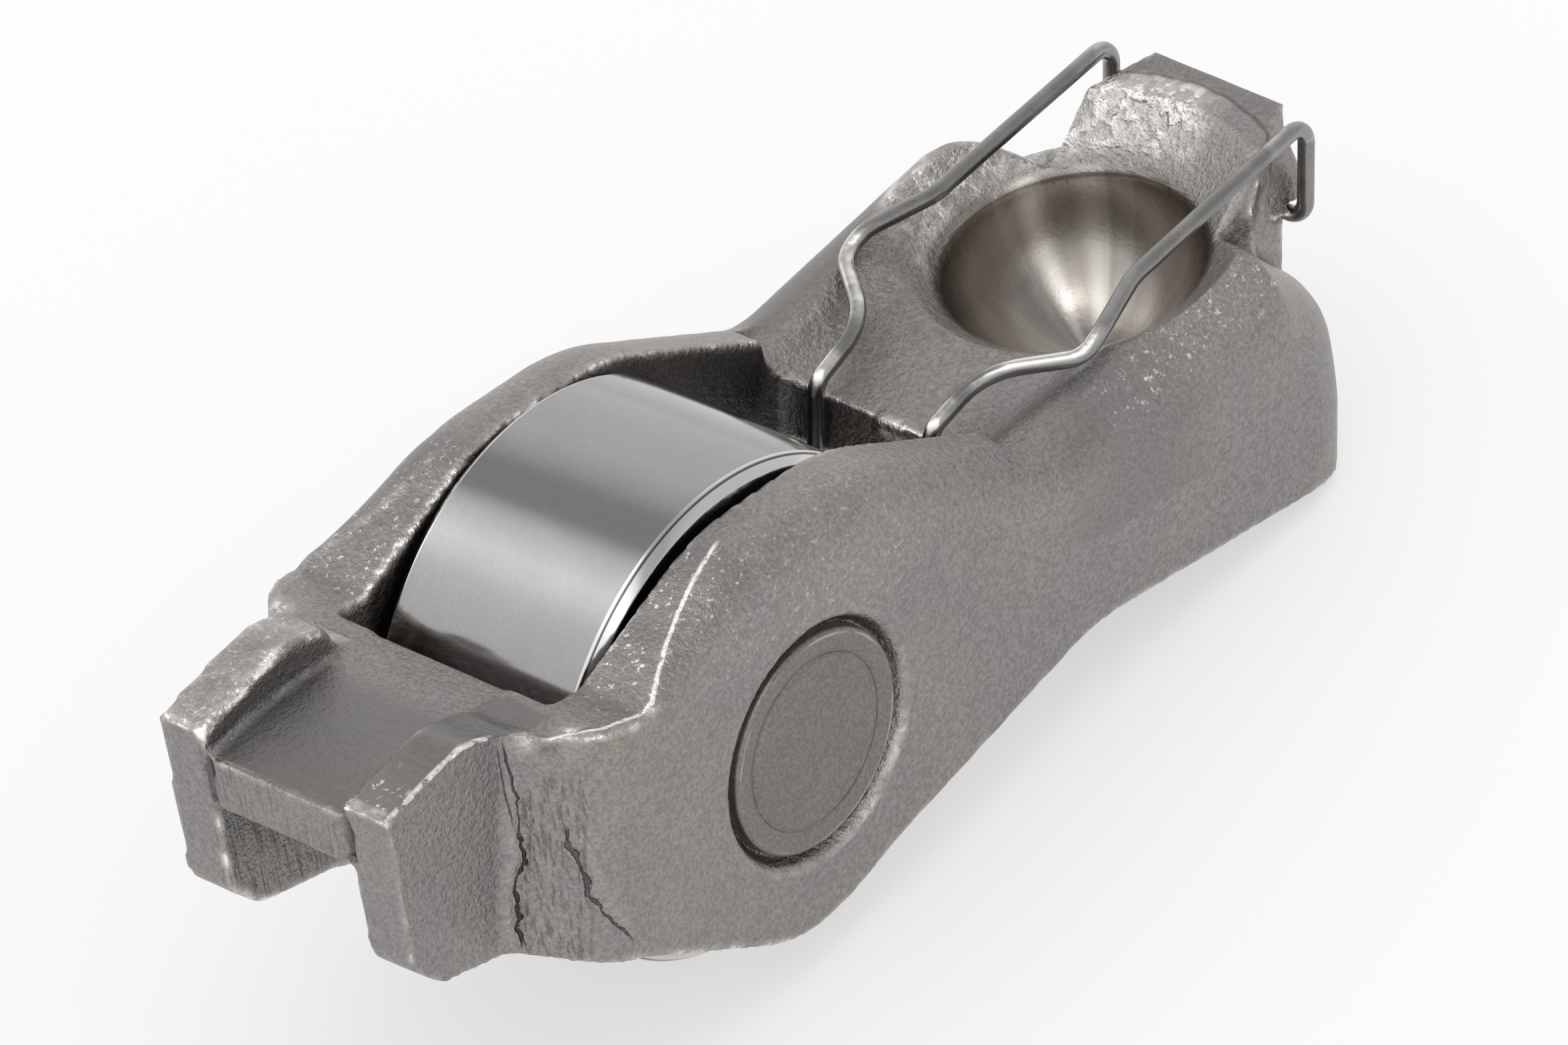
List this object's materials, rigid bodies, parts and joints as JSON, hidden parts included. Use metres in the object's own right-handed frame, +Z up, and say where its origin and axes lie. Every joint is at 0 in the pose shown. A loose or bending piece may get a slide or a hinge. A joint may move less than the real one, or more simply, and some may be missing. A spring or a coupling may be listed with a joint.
{
  "type": "roller rocker arm",
  "caption": "Pressed steel finger follower rocker arm with a pivot socket, a flanged valve pad, a needle-borne roller on a staked pin and a bent wire clip.",
  "frame": {"origin": "on the surface that the arm rests on, under the middle of its box", "axes": "+X from the valve pad to the pivot socket, +Y along the axle, +Z up with the socket and the pad facing up"},
  "size_m": [0.0504, 0.016, 0.0192],
  "materials": {
    "pressed_steel": "peened satin steel with rubbed edges",
    "pin_steel": "matt ground end faces",
    "ground_steel": "ground bearing steel",
    "needle_steel": "ground and lapped bearing steel",
    "spring_wire": "drawn grey spring wire"
  },
  "bodies": {
    "arm": {"arm_body": "pressed_steel", "axle_pin": "pin_steel", "wire_clip": "spring_wire"},
    "roller": {"roller_ring": "ground_steel"},
    "needle_row": {"needle_01": "needle_steel", "needle_02": "needle_steel", "needle_03": "needle_steel", "needle_04": "needle_steel", "needle_05": "needle_steel", "needle_06": "needle_steel", "needle_07": "needle_steel", "needle_08": "needle_steel", "needle_09": "needle_steel", "needle_10": "needle_steel", "needle_11": "needle_steel", "needle_12": "needle_steel", "needle_13": "needle_steel", "needle_14": "needle_steel", "needle_15": "needle_steel", "needle_16": "needle_steel"}
  },
  "joints": [
    {"name": "roller_spin", "type": "hinge", "parent": "arm", "child": "roller", "pos_m": [-0.00736, 0, 0.0093], "axis": [0, 1, 0], "continuous": true},
    {"name": "needle_orbit", "type": "hinge", "parent": "arm", "child": "needle_row", "pos_m": [-0.00736, 0, 0.0093], "axis": [0, 1, 0], "continuous": true}
  ],
  "couplings": [
    {"joint": "needle_orbit", "follows": "roller_spin", "ratio": 0.5977}
  ]
}
